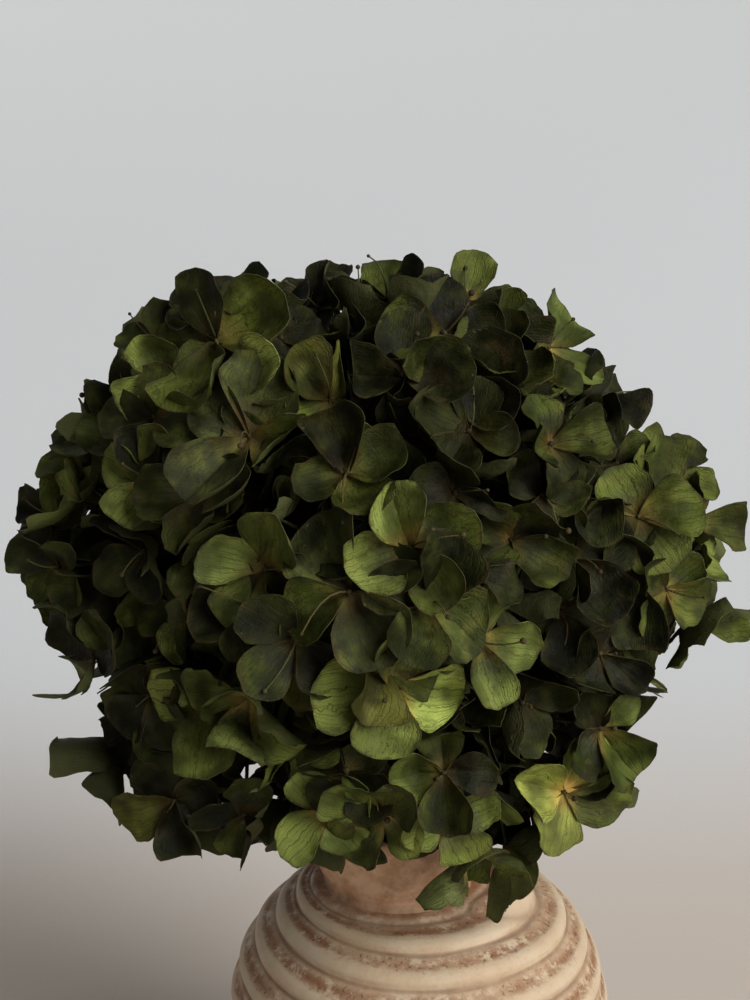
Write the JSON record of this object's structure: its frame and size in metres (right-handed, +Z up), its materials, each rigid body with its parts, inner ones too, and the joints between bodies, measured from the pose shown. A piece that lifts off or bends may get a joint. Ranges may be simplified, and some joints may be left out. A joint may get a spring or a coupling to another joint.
{
  "type": "hydrangeas in a vase",
  "caption": "Bunch of dried green hydrangea heads on woody stems, standing in a rounded stoneware vase with wavy raised rings.",
  "frame": {"origin": "middle of the vase's flat foot, on the surface it stands on", "axes": "+Z up along the vase's body axis; the bunch's shown face looks along -Y; +X is to the right of that face"},
  "size_m": [0.2649, 0.2264, 0.3615],
  "materials": {
    "stoneware": "matte",
    "stem": "matte",
    "sepals": "matte"
  },
  "bodies": {
    "root": {"vase": "stoneware", "stem_upper_left": "stem", "head_upper_left": "sepals", "stem_upper_middle": "stem", "head_upper_middle": "sepals", "stem_right": "stem", "head_right": "sepals", "stem_left": "stem", "head_left": "sepals", "stem_front": "stem", "head_front": "sepals", "stem_low_front": "stem", "head_low_front": "sepals", "stem_lower_left": "stem", "head_lower_left": "sepals", "stem_lower_right": "stem", "head_lower_right": "sepals", "stem_upper_back": "stem", "head_upper_back": "sepals", "stem_back_left": "stem", "head_back_left": "sepals", "stem_back_right": "stem", "head_back_right": "sepals"}
  },
  "joints": []
}
